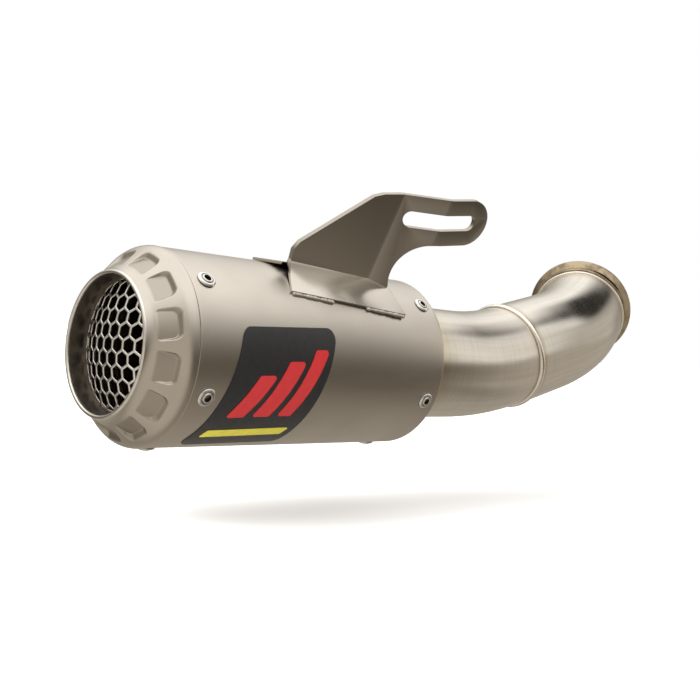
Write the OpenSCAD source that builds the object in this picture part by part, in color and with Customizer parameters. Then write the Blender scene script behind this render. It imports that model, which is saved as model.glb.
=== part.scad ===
// Racing slip-on silencer with a welded link pipe and a hanger.
// Millimetres. +Z is up, +X runs from the outlet to the inlet along the silencer's axis.
// Parts are drawn from the outlet mouth and then moved, so the inlet flange's face is the origin.

/* [Sleeve] */
// Outside radius of the silencer's sleeve
sleeve_r = 50; // [40:0.5:65]
// Sheet thickness of the sleeve
sleeve_t = 1; // [0.6:0.1:2]
// Length of the sleeve between the outlet cap and the inlet end
sleeve_len = 170.5; // [120:0.5:320]
// Gap between the sleeve's front edge and the outlet cap's shoulder
seam_gap = 0.3; // [0.1:0.1:1]

/* [Outlet cap] */
// Radius of the outlet mouth at the lip
lip_r = 36; // [24:0.5:44]
// Sheet thickness of the outlet cap
cap_t = 1.2; // [0.8:0.1:2]
// Slope of the cap where it leaves the lip, in degrees
cap_lip_slope = 18; // [5:1:30]
// Slope of the cap's cone, in degrees
cap_cone_slope = 44; // [32:1:60]
// Radius of the hollow curve behind the lip
cap_hollow_r = 10; // [4:0.5:16]
// Radius of the rounded shoulder before the sleeve
cap_shoulder_r = 8.3; // [4:0.1:14]
// How far the cap's shoulder stands out from the sleeve
cap_proud = 0.2; // [0:0.1:1]
// Length of the caps' skirts inside the sleeve
skirt_len = 14; // [10:0.5:24]
// Gap between a skirt and the sleeve
skirt_gap = 0.1; // [0.05:0.05:0.4]

/* [Pressed windows] */
// Number of pressed windows round the outlet cap
window_count = 13; // [8:1:16]
// Angle of the first window, up from level on the badge side, in degrees
window_start = 15.9; // [-30:0.1:30]
// Width of a window round the cap
window_w = 14.6; // [8:0.1:20]
// Length of a window's floor
window_len = 10.6; // [6:0.1:14]
// Corner radius of a window
window_corner = 2.8; // [1:0.1:4]
// Distance behind the lip where the window's floor leaves the cone
window_front = 3.4; // [2:0.1:8]
// Slope of a window's floor, in degrees
window_slope = 32; // [15:1:40]

/* [Mouth] */
// Sheet thickness of the mouth tube
mouth_t = 1; // [0.6:0.1:2]
// Gap between the mouth tube and the cap's front edge
mouth_gap = 0.05; // [0.05:0.05:0.3]
// Length of the mouth tube
mouth_len = 36; // [24:0.5:60]
// Radius of the rolled bead on the lip
lip_bead_r = 1.1; // [0.6:0.1:2]
// Dome radius of the mesh
mesh_dome_r = 75; // [50:1:150]
// Distance from the lip's face to the top of the mesh dome
mesh_inset = 1.4; // [0.5:0.1:12]
// Sheet thickness of the mesh
mesh_t = 0.8; // [0.5:0.1:1.5]
// Distance between the centres of neighbouring cells
mesh_pitch = 7.8; // [5:0.1:12]
// Width of the bars between the cells
mesh_bar = 1.3; // [0.8:0.1:2]
// Length of the rim that holds the mesh in the mouth tube
mesh_rim_len = 4; // [2:0.5:8]

/* [Core] */
// Sheet thickness of the perforated core tube
core_t = 0.8; // [0.6:0.1:1.5]
// Gap between the core tube and the tubes it slides into
core_gap = 0.2; // [0.1:0.05:0.5]
// Length of core tube held in the mouth tube and in the link pipe
core_lap = 10; // [5:0.5:20]
// Radius of the core's holes
perf_r = 3; // [1.5:0.1:4]
// Number of rows of holes along the core
perf_rows = 9; // [4:1:14]
// Thickness of the steel wool round the core
wool_t = 3.2; // [2:0.1:6]
// Gap left between packing layers and at their ends
packing_gap = 0.1; // [0.05:0.05:0.5]

/* [Rivets] */
// Radius of a rivet's head
rivet_head_r = 4.9; // [3:0.1:7]
// Height of a rivet's head
rivet_head_h = 1.7; // [0.8:0.1:3]
// Radius of a rivet's shank
rivet_shank_r = 2.4; // [1.6:0.1:3.2]
// Gap round a rivet's shank in its holes
rivet_gap = 0.1; // [0.05:0.05:0.3]
// Distance from each end of the sleeve to its row of rivets
rivet_edge = 9; // [7:0.5:14]
// Angle between neighbouring rivets, in degrees
rivet_pitch = 67.5; // [50:0.5:72]
// Angle of the middle rivet, up from level on the badge side, in degrees
rivet_middle = -92.2; // [-100:0.1:-80]

/* [Inlet and pipe] */
// Outside radius of the link pipe
pipe_r = 35.2; // [25:0.1:42]
// Wall of the link pipe and the elbow
pipe_t = 1.2; // [0.8:0.1:2]
// Outside radius of the elbow
elbow_r = 35.8; // [25:0.1:42]
// Depth of the dished inlet cap behind the sleeve's end
inlet_dish = 6; // [3:0.5:15]
// Gap between the inlet cap's neck and the link pipe
neck_gap = 0.05; // [0.05:0.05:0.3]
// Straight length from the sleeve's end to the first bend
lead_len = 56.6; // [40:0.2:160]
// Bend radius of the first bend
bend1_r = 254; // [80:1:400]
// Angle of the first bend, upwards, in degrees
bend1_angle = 14; // [2:0.5:45]
// Straight length from the joint to the second bend
elbow_lead = 48.3; // [5:0.1:100]
// Bend radius of the second bend
bend2_r = 159.3; // [80:0.1:300]
// Angle of the second bend, in degrees
bend2_angle = 28.1; // [5:0.1:90]
// Direction of the second bend, from up towards the far side, in degrees
bend2_roll = 63.7; // [0:0.1:180]
// Radius of the weld beads' round backs
bead_r = 2; // [1:0.1:3]

/* [Inlet flange] */
// Outside radius of the flange's rim
flange_r = 41; // [30:0.1:50]
// Length of the flange's collar
flange_collar = 7; // [4:0.5:14]
// How far the collar stands out from the elbow
flange_step = 1.8; // [0.5:0.1:4]
// Length of the flange's flare
flange_flare = 7; // [3:0.5:14]
// Thickness of the flange's rim
flange_rim_t = 2; // [1:0.1:4]

/* [Hanger] */
// Thickness of each of the hanger's two sheets
hanger_t = 1.5; // [1:0.1:3]
// Angle of the hanger's web, up from level on the badge side, in degrees
hanger_angle = 63; // [40:1:90]
// Distance from the lip to the point where the web crosses the axis plane
hanger_x = 124; // [80:1:200]
// Turn of the web away from the silencer's axis, in degrees
hanger_yaw = -5; // [-15:0.5:15]
// Angle of the first crease, in degrees
crease_angle = 20; // [0:1:40]
// Distance from the web's middle to the first crease
crease1_x = 20.6; // [10:0.1:30]
// Distance from the web's middle to the second crease
crease2_x = 48.5; // [40:0.1:80]
// Bend radius of the creases, to the middle of the two sheets
crease_r = 8; // [4:0.5:20]
// Half the width of the slot
slot_r = 4.8; // [3:0.1:7]
// Distance between the centres of the slot's round ends
slot_centres = 37; // [10:0.1:60]
// Slope of the slot, in degrees
slot_slope = 12; // [0:0.1:30]
// Radius of the arm's round end
arm_end_r = 14.2; // [9:0.1:20]
// Tilt of each foot from square to the web, in degrees
foot_tilt = 20.7; // [10:0.1:35]
// Radius of the welds along the feet
foot_bead_r = 1.5; // [0.8:0.1:2.5]

/* [Badge] */
// Angle of the badge's middle, up from level on the badge side, in degrees
badge_angle = -25; // [-60:1:60]
// Distance from the lip to the badge's middle
badge_x = 68.2; // [50:0.1:120]
// Width of the badge along the sleeve
badge_w = 60; // [30:0.5:100]
// Height of the badge, measured straight across
badge_h = 67; // [30:0.5:80]
// Lean of the badge's upright edges, in degrees
badge_lean = 11; // [0:0.5:20]
// Rise of the badge's long edges, in degrees
badge_rise = 2; // [-5:0.5:5]
// Corner radius of the badge
badge_corner = 5; // [1:0.5:10]
// Thickness of the badge
badge_t = 0.3; // [0.2:0.05:1]
// Thickness of each coloured mark on the badge
mark_t = 0.2; // [0.1:0.05:0.5]

/* [Hidden] */
$fn = 64;
touch = 0.02;

// Metal and cloth colours
titanium = [0.70, 0.66, 0.60];
pipe_grey = [0.66, 0.62, 0.56];
steel = [0.75, 0.75, 0.76];
mesh_grey = [0.55, 0.55, 0.55];
packing_cream = [0.86, 0.80, 0.62];
badge_black = [0.05, 0.05, 0.05];
badge_red = [0.75, 0.05, 0.04];
badge_yellow = [0.90, 0.78, 0.05];

// The cap's profile: the shoulder's top, and the straight cone that joins the two curves
cap_r = sleeve_r + cap_proud;
hollow_rise = cap_hollow_r * (cos(cap_lip_slope) - cos(cap_cone_slope));
hollow_run = cap_hollow_r * (sin(cap_cone_slope) - sin(cap_lip_slope));
shoulder_rise = cap_shoulder_r * (1 - cos(cap_cone_slope));
shoulder_run = cap_shoulder_r * sin(cap_cone_slope);
cone_rise = cap_r - lip_r - hollow_rise - shoulder_rise;
cone_run = cone_rise / tan(cap_cone_slope);
cap_len = hollow_run + cone_run + shoulder_run;
curve_steps = 10;

// Each entry is the distance behind the lip, the radius and the slope there
function hollow_point(i) =
  let (a = cap_lip_slope + (cap_cone_slope - cap_lip_slope) * i / curve_steps)
  [cap_hollow_r * (sin(a) - sin(cap_lip_slope)),
   lip_r + cap_hollow_r * (cos(cap_lip_slope) - cos(a)), a];
function shoulder_point(i) =
  let (a = cap_cone_slope * (1 - i / curve_steps))
  [cap_len - cap_shoulder_r * sin(a), cap_r - cap_shoulder_r * (1 - cos(a)), a];
cap_curve = [for (i = [0:curve_steps]) hollow_point(i), for (i = [0:curve_steps]) shoulder_point(i)];

// Where the sleeve and its ends lie along the axis
sleeve_x0 = cap_len + seam_gap;
sleeve_x1 = sleeve_x0 + sleeve_len;
sleeve_in = sleeve_r - sleeve_t;
skirt_r = sleeve_in - skirt_gap;
skirt_in = skirt_r - cap_t;
mouth_r = lip_r - cap_t * cos(cap_lip_slope) - mouth_gap;
mouth_in = mouth_r - mouth_t;
pipe_in = pipe_r - pipe_t;
core_r = min(mouth_in, pipe_in) - core_gap;
core_in = core_r - core_t;
core_x0 = mouth_len - core_lap;
neck_x0 = sleeve_x1 - 4;
neck_x1 = sleeve_x1 + inlet_dish;
core_x1 = neck_x0 + core_lap;
neck_r = pipe_r + neck_gap;

// The mesh dome's centre and the place where its dome meets its rim
mesh_r = mouth_in - touch;
mesh_centre = mesh_inset + mesh_dome_r;
mesh_rim_x = mesh_centre - sqrt(pow(mesh_dome_r, 2) - pow(mesh_r, 2));

// The pipe's route: each point, with its heading
bend1_x = sleeve_x1 + lead_len;
heading1 = [cos(bend1_angle), 0, sin(bend1_angle)];
side1 = [-sin(bend1_angle), 0, cos(bend1_angle)];
bend1_end = [bend1_x + bend1_r * sin(bend1_angle), 0, bend1_r * (1 - cos(bend1_angle))];
bend2_start = bend1_end + elbow_lead * heading1;
side2 = cos(bend2_roll) * side1 + sin(bend2_roll) * [0, 1, 0];
heading2 = cos(bend2_angle) * heading1 + sin(bend2_angle) * side2;
bend2_end = bend2_start + bend2_r * (sin(bend2_angle) * heading1 + (1 - cos(bend2_angle)) * side2);
inlet_centre = bend2_end + (touch + flange_collar + flange_flare) * heading2;

// The hanger's outline, seen square to the web: along it from its middle, and out from the axis
fold_r = (sleeve_r + hanger_t) / cos(foot_tilt);
web_front = -33;
web_rear = 33;
arm_end = [66.2, sleeve_r + 52.4];
slot_dir = [cos(slot_slope), sin(slot_slope)];
slot_side = [-sin(slot_slope), cos(slot_slope)];
slot_start = arm_end - slot_centres * slot_dir;
arm_hollow_r = 23;
arm_hollow = [54.2, sleeve_r + 12];
foot_rear = 36;
foot_front = -44;

// The badge's corners, then the same corners rounded
lean = tan(badge_lean);
rise = tan(badge_rise);
function badge_point(u, v) = [u * badge_w / 2 + v * lean * badge_h / 2,
  v * badge_h / 2 + u * rise * badge_w / 2];
function unit(v) = v / norm(v);
function wrap(i, n) = (i + n) % n;
function corner_arc(p, q, s, r) =
  let (a = unit(p - q), b = unit(s - q), half = acos(a * b) / 2, c = q + unit(a + b) * r / sin(half),
       a0 = atan2((q + a * r / tan(half) - c)[1], (q + a * r / tan(half) - c)[0]),
       a1 = atan2((q + b * r / tan(half) - c)[1], (q + b * r / tan(half) - c)[0]),
       turn = a1 - a0 > 180 ? a1 - a0 - 360 : (a1 - a0 < -180 ? a1 - a0 + 360 : a1 - a0))
  [for (i = [0:6]) c + r * [cos(a0 + turn * i / 6), sin(a0 + turn * i / 6)]];
function rounded(pts, r) = [for (i = [0:len(pts) - 1])
  for (p = corner_arc(pts[wrap(i - 1, len(pts))], pts[i], pts[wrap(i + 1, len(pts))], r)) p];

// Moves a piece from the mouth's frame to the part's frame
module placed() {
  translate(-inlet_centre) children();
}

// Turns a profile of [radius, distance] points round the silencer's axis
module turned(points) {
  rotate([0, 90, 0]) rotate_extrude($fn = 96) polygon(points);
}

// A plain tube along the axis
module tube(r_out, r_in, x0, x1) {
  turned([[r_in, x0], [r_out, x0], [r_out, x1], [r_in, x1]]);
}

// A solid bar along the axis
module bar(r, x0, x1) {
  translate([x0, 0, 0]) rotate([0, 90, 0]) cylinder(r = r, h = x1 - x0, $fn = 96);
}

// Lays a piece drawn along +Z at an angle up from level on the badge side
module at_angle(a) {
  rotate([90 - a, 0, 0]) children();
}

// A tube that heads along +X and bends towards +Z
module bent_tube(r_out, r_in, bend, angle) {
  translate([0, 0, bend]) rotate([0, 90, 0]) rotate([90, 0, 0])
    rotate_extrude(angle = angle, $fn = 128) translate([bend, 0]) difference() {
      circle(r = r_out, $fn = 96);
      circle(r = r_in, $fn = 96);
    }
}

// Frames along the pipe's route
module after_bend1() {
  translate(bend1_end) rotate([0, -bend1_angle, 0]) children();
}

module before_bend2() {
  after_bend1() translate([elbow_lead, 0, 0]) rotate([-bend2_roll, 0, 0]) children();
}

module after_bend2() {
  before_bend2() translate([bend2_r * sin(bend2_angle), 0, bend2_r * (1 - cos(bend2_angle))])
    rotate([0, -bend2_angle, 0]) children();
}

// A rounded rectangle that starts at x = 0
module window_outline(l, w, r) {
  translate([0, -w / 2 + r]) square([l, w - 2 * r]);
  translate([r, -w / 2]) square([l - 2 * r, w]);
  for (x = [r, l - r], y = [-w / 2 + r, w / 2 - r]) translate([x, y]) circle(r = r, $fn = 24);
}

// The block that presses one window; grow adds the sheet's thickness round it
module window_block(k, grow) {
  at_angle(window_start + k * 360 / window_count)
    translate([window_front, 0, lip_r + window_front * tan((cap_lip_slope + cap_cone_slope) / 2)])
      rotate([0, -window_slope, 0]) translate([-grow, 0, -grow])
        linear_extrude(height = 10) window_outline(window_len + 2 * grow, window_w + 2 * grow,
          window_corner + grow);
}

// Holes for one row of rivets
module rivet_holes(x) {
  for (k = [0:4]) translate([x, 0, 0]) at_angle(rivet_middle + (k - 2) * rivet_pitch)
    translate([0, 0, sleeve_r - 8]) cylinder(r = rivet_shank_r + rivet_gap, h = 16, $fn = 32);
}

module sleeve() {
  color(titanium) placed() difference() {
    tube(sleeve_r, sleeve_in, sleeve_x0, sleeve_x1);
    rivet_holes(sleeve_x0 + rivet_edge);
    rivet_holes(sleeve_x1 - rivet_edge);
  }
}

module outlet_cap() {
  cap_end = sleeve_x0 + skirt_len;
  outer = concat([[0, 0]], [for (p = cap_curve) [p[1], p[0]]],
    [[skirt_r, cap_len], [skirt_r, cap_end], [0, cap_end]]);
  inner = concat([[0, -1], [mouth_r + mouth_gap, -1]],
    [for (p = cap_curve) [min(p[1] - cap_t * cos(p[2]), skirt_in), p[0] + cap_t * sin(p[2])]],
    [[skirt_in, cap_end + 1], [0, cap_end + 1]]);
  color(titanium) placed() difference() {
    turned(outer);
    difference() {
      turned(inner);
      for (k = [0:window_count - 1]) window_block(k, cap_t);
    }
    for (k = [0:window_count - 1]) window_block(k, 0);
    rivet_holes(sleeve_x0 + rivet_edge);
  }
}

module mouth_tube() {
  color(pipe_grey) placed() tube(mouth_r, mouth_in, 0, mouth_len);
}

module lip_bead() {
  bead_mid = lip_r - lip_bead_r + 0.05;
  color(titanium) placed() rotate([0, 90, 0]) rotate_extrude($fn = 96) translate([bead_mid, 0])
    intersection() {
      circle(r = lip_bead_r, $fn = 32);
      translate([-lip_bead_r, -lip_bead_r]) square([2 * lip_bead_r, lip_bead_r]);
    }
}

module mesh_cells() {
  cell_r = (mesh_pitch - mesh_bar) / sqrt(3);
  rows = ceil(mesh_r / (mesh_pitch * sin(60)));
  cols = ceil(mesh_r / mesh_pitch);
  intersection() {
    for (i = [-rows:rows], j = [-cols:cols]) {
      y = (j + (i % 2 == 0 ? 0 : 0.5)) * mesh_pitch;
      z = i * mesh_pitch * sin(60);
      if (norm([y, z]) < mesh_r - 0.3 * mesh_pitch)
        translate([mesh_inset - 1, y, z]) rotate([0, 90, 0]) cylinder(r = cell_r, h = 20, $fn = 6);
    }
    bar(mesh_r - mesh_t - 0.4, mesh_inset - 2, mesh_inset + 22);
  }
}

module mesh_dome() {
  color(mesh_grey) placed() {
    difference() {
      intersection() {
        translate([mesh_centre, 0, 0]) difference() {
          sphere(r = mesh_dome_r, $fn = 96);
          sphere(r = mesh_dome_r - mesh_t, $fn = 96);
        }
        bar(mesh_r, 0, mesh_rim_x + mesh_t);
      }
      mesh_cells();
    }
    tube(mesh_r, mesh_r - mesh_t, mesh_rim_x, mesh_rim_x + mesh_rim_len);
  }
}

module core_tube() {
  first = core_x0 + core_lap + perf_r + 4;
  last = neck_x0 - perf_r - 10;
  color(steel) placed() difference() {
    tube(core_r, core_in, core_x0, core_x1);
    for (i = [0:perf_rows - 1], k = [0:9])
      translate([first + (last - first) * i / (perf_rows - 1), 0, 0])
        at_angle(k * 36 + (i % 2) * 18) translate([0, 0, core_in - 3])
          cylinder(r = perf_r, h = core_t + 6, $fn = 16);
  }
}

packing_x0 = max(mouth_len, sleeve_x0 + skirt_len) + packing_gap;
packing_x1 = sleeve_x1 - skirt_len - packing_gap;

module wool_wrap() {
  color(steel) placed()
    tube(core_r + packing_gap + wool_t, core_r + packing_gap, packing_x0, packing_x1);
}

module fibre_packing() {
  color(packing_cream) placed()
    tube(sleeve_in - packing_gap, core_r + wool_t + 2 * packing_gap, packing_x0, packing_x1);
}

module inlet_cap() {
  lip = cap_t + 1.5;
  color(titanium) placed() difference() {
    turned([[skirt_r, sleeve_x1 - skirt_len], [skirt_r, sleeve_x1 - 1.5], [skirt_r - 1.5, sleeve_x1],
      [neck_r + 2 * lip, neck_x1 - 3], [neck_r + cap_t, neck_x1 - 1], [neck_r + cap_t, neck_x1],
      [neck_r, neck_x1], [neck_r, neck_x0], [neck_r + cap_t, neck_x0],
      [neck_r + cap_t, neck_x1 - 4.2], [neck_r + 2 * lip, neck_x1 - 4.5], [skirt_in - 1.2, sleeve_x1 - 1.5],
      [skirt_in, sleeve_x1 - 2.7], [skirt_in, sleeve_x1 - skirt_len]]);
    rivet_holes(sleeve_x1 - rivet_edge);
  }
}

// A round-backed bead over the joint at x = 0, between a tube behind it and a tube ahead
module bead_ring(behind_r, ahead_r, back_r) {
  outer = max(behind_r, ahead_r);
  rotate([0, 90, 0]) rotate_extrude($fn = 96) difference() {
    translate([outer - 0.3 * back_r, 0]) circle(r = back_r, $fn = 32);
    translate([outer - 3 * back_r, -2 * back_r])
      square([behind_r - outer + 3 * back_r + touch / 2, 2 * back_r]);
    translate([outer - 3 * back_r, 0])
      square([ahead_r - outer + 3 * back_r + touch / 2, 2 * back_r]);
  }
}

module neck_bead() {
  color(titanium) placed() translate([neck_x1 + 0.96 * bead_r + touch, 0, 0])
    bead_ring(pipe_r, pipe_r, bead_r);
}

module link_pipe() {
  color(pipe_grey) placed() {
    tube(pipe_r, pipe_in, neck_x0 + 1, bend1_x);
    translate([bend1_x, 0, 0]) bent_tube(pipe_r, pipe_in, bend1_r, bend1_angle);
  }
}

module joint_bead() {
  color(titanium) placed() after_bend1() bead_ring(pipe_r, elbow_r, bead_r);
}

module elbow() {
  elbow_in = elbow_r - pipe_t;
  color(pipe_grey) placed() after_bend1() rotate([-bend2_roll, 0, 0]) {
    tube(elbow_r, elbow_in, touch, elbow_lead);
    translate([elbow_lead, 0, 0]) bent_tube(elbow_r, elbow_in, bend2_r, bend2_angle);
  }
}

module inlet_flange() {
  collar_r = elbow_r + flange_step;
  end = touch + flange_collar + flange_flare;
  bore = elbow_r - pipe_t;
  color(titanium) placed() after_bend2() turned([[bore, touch], [elbow_r, touch],
    [elbow_r, touch + 1.4], [collar_r, touch + 2.4], [collar_r, touch + flange_collar],
    [collar_r + 0.6, touch + flange_collar + 1], [flange_r, end - flange_rim_t], [flange_r, end],
    [bore, end]]);
}

module flange_bead() {
  color(titanium) placed() after_bend2() bead_ring(elbow_r, elbow_r, 0.7 * bead_r);
}

// The flat pattern of both hanger sheets
module hanger_outline() {
  difference() {
    union() {
      polygon([[web_front, fold_r - 6], [web_front - 2, sleeve_r + 12], [web_front, sleeve_r + 17],
        [2, sleeve_r + 51.5], [8, sleeve_r + 54.2], arm_end + arm_end_r * slot_side,
        arm_end - arm_end_r * slot_side, arm_end - arm_end_r * slot_side - 18 * slot_dir,
        [web_rear, arm_hollow[1]], [web_rear, fold_r - 6]]);
      translate(arm_end) circle(r = arm_end_r);
    }
    translate(arm_hollow) circle(r = arm_hollow_r);
    slot_outline();
  }
}

module slot_outline() {
  translate(slot_start) rotate(slot_slope) {
    translate([0, -slot_r]) square([slot_centres, 2 * slot_r]);
    for (x = [0, slot_centres]) translate([x, 0]) circle(r = slot_r);
  }
}

// The sheets' path seen along the creases; each entry is a point and the heading there
crease_reach = crease_r * tan(crease_angle / 2);
crease2_y = -(crease2_x - crease1_x) * tan(crease_angle);
function crease_point(x, y, i, back) =
  let (a = crease_angle * i / 6, b = back ? crease_angle - a : a,
       t = back ? [x - crease_reach * cos(crease_angle), y + crease_reach * sin(crease_angle)]
                : [x - crease_reach, y],
       run = back ? sin(crease_angle) - sin(b) : sin(b),
       drop = back ? cos(b) - cos(crease_angle) : 1 - cos(b))
  [t[0] + crease_r * run, t[1] - crease_r * drop, b];
sheet_path = concat([[web_front - 20, 0, 0]],
  [for (i = [0:6]) crease_point(crease1_x, 0, i, false)],
  [for (i = [0:6]) crease_point(crease2_x, crease2_y, i, true)],
  [[crease2_x + 60, crease2_y, 0]]);

function sheet_side(y) = [for (p = sheet_path) [p[0] + y * sin(p[2]), p[1] + y * cos(p[2])]];
function reversed(list) = [for (i = [len(list) - 1:-1:0]) list[i]];

// The web and the twice creased arm, from y0 to y1 across the sheets
module bent_sheet(y0, y1) {
  intersection() {
    linear_extrude(height = sleeve_r * 4) polygon(concat(sheet_side(y0), reversed(sheet_side(y1))));
    translate([0, 60, 0]) rotate([90, 0, 0]) linear_extrude(height = 120) hanger_outline();
  }
}

// The web's own frame: +Z out from the axis, +X along the sleeve
module hanger_frame() {
  translate([hanger_x, 0, 0]) at_angle(hanger_angle) rotate([0, 0, hanger_yaw]) children();
}

// A foot's frame: its underside lies flat against the sleeve; side is -1 near and 1 far
module foot_frame(side) {
  translate([hanger_x, 0, 0]) at_angle(hanger_angle + side * foot_tilt)
    translate([0, 0, sleeve_r + touch]) children();
}

foot_up = (sleeve_r + hanger_t) * tan(foot_tilt) + 6;

module foot_outline(side) {
  mirror([0, side < 0 ? 0 : 1]) polygon([[web_front - 1, foot_up], [foot_front, -1.5],
    [foot_rear, side < 0 ? -10 : -4], [web_rear, foot_up]]);
}

// Everything on one side of the web's middle plane
module web_side(side) {
  hanger_frame() translate([-200, side < 0 ? -200 : 0, -20]) cube([400, 200, 300]);
}

module hanger_sheet(side) {
  y0 = side < 0 ? 0 - hanger_t : touch;
  y1 = side < 0 ? 0 : touch + hanger_t;
  union() {
    difference() {
      hanger_frame() bent_sheet(y0, y1);
      foot_frame(side) translate([-200, -100, -40]) cube([400, 200, 40 + hanger_t / 2]);
    }
    intersection() {
      foot_frame(side) linear_extrude(height = hanger_t) foot_outline(side);
      web_side(side);
    }
  }
}

module hanger_plate() {
  color(titanium) placed() hanger_sheet(-1);
}

module hanger_backing() {
  color(titanium) placed() hanger_sheet(1);
}

// A rounded weld run along a foot's outer edge, between two distances along the sleeve
module foot_run(side, x0, x1, y0, y1) {
  run = norm([x1 - x0, y1 - y0]);
  placed() difference() {
    foot_frame(side) translate([x0, side < 0 ? y0 : -y0, 0])
      rotate([0, 0, (side < 0 ? 1 : -1) * atan2(y1 - y0, x1 - x0)]) rotate([0, 90, 0])
        cylinder(r = foot_bead_r, h = run, $fn = 24);
    bar(sleeve_r + touch / 2, 0, sleeve_x1 + 10);
    foot_frame(side) translate([0, 0, -touch]) linear_extrude(height = hanger_t + 2 * touch)
      foot_outline(side);
  }
}

module foot_weld_front() {
  color(titanium) foot_run(-1, foot_front, -15, -1.9, -5);
}

module foot_weld_rear() {
  color(titanium) foot_run(-1, 7, foot_rear, -7.2, -10.4);
}

module backing_weld() {
  color(titanium) foot_run(1, foot_front + 4, foot_rear - 2, -2.2, -4.3);
}

// A thin skin over the sleeve, cut to an outline that is seen along the badge's own middle
module skin(r0, r1) {
  intersection() {
    difference() {
      bar(r1, sleeve_x0 + 2, sleeve_x1 - 2);
      bar(r0, sleeve_x0, sleeve_x1);
    }
    translate([badge_x, 0, 0]) at_angle(badge_angle) linear_extrude(height = sleeve_r * 1.5)
      children();
  }
}

mark_r = sleeve_r + touch + badge_t;

module badge_plate() {
  color(badge_black) placed() skin(sleeve_r + touch, mark_r)
    polygon(rounded([badge_point(-1, -1), badge_point(1, -1), badge_point(1, 1),
      badge_point(-1, 1)], badge_corner));
}

// One slanted bar of the mark
module mark_bar(u0, u1, v0, v1) {
  polygon(rounded([badge_point(u0, v0), badge_point(u1, v0), badge_point(u1 + 0.26, v1),
    badge_point(u0 + 0.26, v1)], 1.5));
}

module badge_mark() {
  color(badge_red) placed() skin(mark_r + touch / 2, mark_r + mark_t) {
    mark_bar(-0.72, -0.36, -0.34, 0.36);
    mark_bar(-0.20, 0.16, -0.34, 0.56);
    mark_bar(0.32, 0.62, -0.34, 0.72);
  }
}

module badge_stripe() {
  color(badge_yellow) placed() skin(mark_r + touch / 2, mark_r + mark_t)
    polygon(rounded([badge_point(-0.84, -0.76), badge_point(0.8, -0.76), badge_point(0.84, -0.6),
      badge_point(-0.8, -0.6)], 1));
}

// A blind rivet with a domed head and an open middle, standing on the sleeve
module rivet(x, k) {
  hole = 0.62 * rivet_shank_r;
  depth = sleeve_t + skirt_gap + cap_t + 1.6;
  color(steel) placed() translate([x, 0, 0]) at_angle(rivet_middle + (k - 3) * rivet_pitch)
    translate([0, 0, sleeve_r + touch]) rotate_extrude($fn = 48) polygon([[hole, 0.6],
      [0, 0.6], [0, -depth], [rivet_shank_r, -depth], [rivet_shank_r, 0], [rivet_head_r, 0],
      [rivet_head_r, 0.35 * rivet_head_h], [0.86 * rivet_head_r, 0.6 * rivet_head_h],
      [0.62 * rivet_head_r, 0.68 * rivet_head_h], [0.52 * rivet_head_r, rivet_head_h],
      [hole + 0.3, rivet_head_h], [hole, 0.85 * rivet_head_h]]);
}

module outlet_rivet(k) {
  rivet(sleeve_x0 + rivet_edge, k);
}

module inlet_rivet(k) {
  rivet(sleeve_x1 - rivet_edge, k);
}

sleeve();
outlet_cap();
mouth_tube();
lip_bead();
mesh_dome();
core_tube();
wool_wrap();
fibre_packing();
inlet_cap();
neck_bead();
link_pipe();
joint_bead();
elbow();
flange_bead();
inlet_flange();
hanger_plate();
hanger_backing();
foot_weld_front();
foot_weld_rear();
backing_weld();
badge_plate();
badge_mark();
badge_stripe();
outlet_rivet(1);  // outlet_rivet_1
outlet_rivet(2);  // outlet_rivet_2
outlet_rivet(3);  // outlet_rivet_3
outlet_rivet(4);  // outlet_rivet_4
outlet_rivet(5);  // outlet_rivet_5
inlet_rivet(1);  // inlet_rivet_1
inlet_rivet(2);  // inlet_rivet_2
inlet_rivet(3);  // inlet_rivet_3
inlet_rivet(4);  // inlet_rivet_4
inlet_rivet(5);  // inlet_rivet_5
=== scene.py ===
import bpy
import bmesh
import numpy as np
from mathutils import Matrix, Vector


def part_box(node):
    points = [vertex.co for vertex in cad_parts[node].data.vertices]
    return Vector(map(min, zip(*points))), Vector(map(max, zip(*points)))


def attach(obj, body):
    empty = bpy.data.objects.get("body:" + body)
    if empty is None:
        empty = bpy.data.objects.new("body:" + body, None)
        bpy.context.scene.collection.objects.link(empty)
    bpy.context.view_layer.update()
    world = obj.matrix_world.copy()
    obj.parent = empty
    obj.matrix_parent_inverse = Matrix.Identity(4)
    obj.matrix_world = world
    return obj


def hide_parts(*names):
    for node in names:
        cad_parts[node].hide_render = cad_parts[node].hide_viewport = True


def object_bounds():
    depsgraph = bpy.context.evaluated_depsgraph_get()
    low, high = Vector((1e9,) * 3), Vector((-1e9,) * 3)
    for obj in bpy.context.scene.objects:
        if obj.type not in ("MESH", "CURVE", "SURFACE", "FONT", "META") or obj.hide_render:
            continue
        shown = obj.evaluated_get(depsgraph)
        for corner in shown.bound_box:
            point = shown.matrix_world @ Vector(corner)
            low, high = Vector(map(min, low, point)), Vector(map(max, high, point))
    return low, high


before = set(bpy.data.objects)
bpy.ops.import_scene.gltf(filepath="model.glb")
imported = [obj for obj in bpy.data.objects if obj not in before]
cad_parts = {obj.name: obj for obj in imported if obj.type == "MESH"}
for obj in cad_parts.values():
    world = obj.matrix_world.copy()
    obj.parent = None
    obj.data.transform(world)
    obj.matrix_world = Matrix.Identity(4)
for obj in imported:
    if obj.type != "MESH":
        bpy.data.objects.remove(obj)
cadLow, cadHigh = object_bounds()
mm = 0.001


# Places. Everything below is worked out in millimetres from the middle of the outlet mouth:
# x runs down the silencer, z is up and the badge is on the -y side.
def boxOf(node):
    low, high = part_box(node)
    return np.array(low), np.array(high)


mouthLow, mouthHigh = boxOf("mouth_tube")
mouthPoint = np.array([mouthLow[0], (mouthLow[1] + mouthHigh[1]) / 2, (mouthLow[2] + mouthHigh[2]) / 2])


def placed(points):
    return np.asarray(points, float) * mm + mouthPoint


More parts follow.
